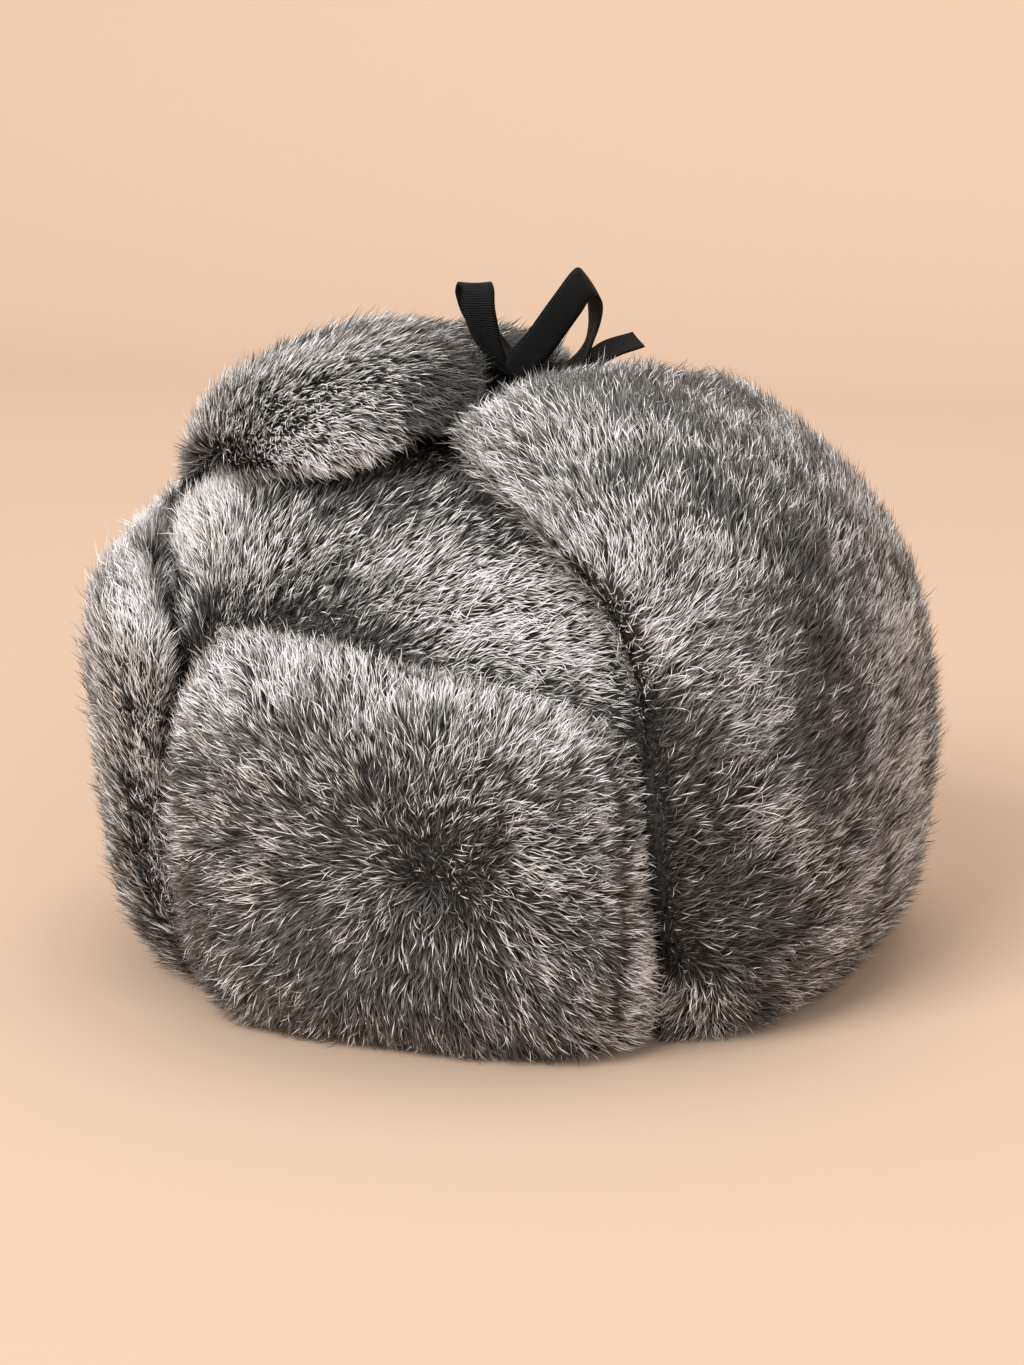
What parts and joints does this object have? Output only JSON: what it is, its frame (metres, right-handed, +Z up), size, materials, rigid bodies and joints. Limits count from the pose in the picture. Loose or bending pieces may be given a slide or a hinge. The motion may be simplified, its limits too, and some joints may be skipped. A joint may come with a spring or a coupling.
{
  "type": "fur ushanka",
  "caption": "Deep fur hat with a padded crown, a visor folded up in front and ear flaps folded over the top and tied in a ribbon bow.",
  "frame": {"origin": "on the surface that the hat rests on, under the middle of the whole hat", "axes": "+Z up, -Y to the front, +X to the wearer's left"},
  "size_m": [0.2663, 0.2837, 0.2201],
  "materials": {
    "crown_fur": "deep grey fur with pale tips and dark roots",
    "visor_fur": "deep grey fur with long pale tips",
    "flap_fur": "deep grey fur with pale tips and dark roots",
    "ribbon": "black ribbed ribbon with a slight sheen"
  },
  "bodies": {
    "root": {"crown": "crown_fur", "visor": "visor_fur", "ear_flap_left": "flap_fur", "ear_flap_right": "flap_fur", "ribbon_knot": "ribbon", "ribbon_loop_right": "ribbon", "ribbon_loop_left": "ribbon", "ribbon_tail_right": "ribbon", "ribbon_tail_left": "ribbon"}
  },
  "joints": []
}
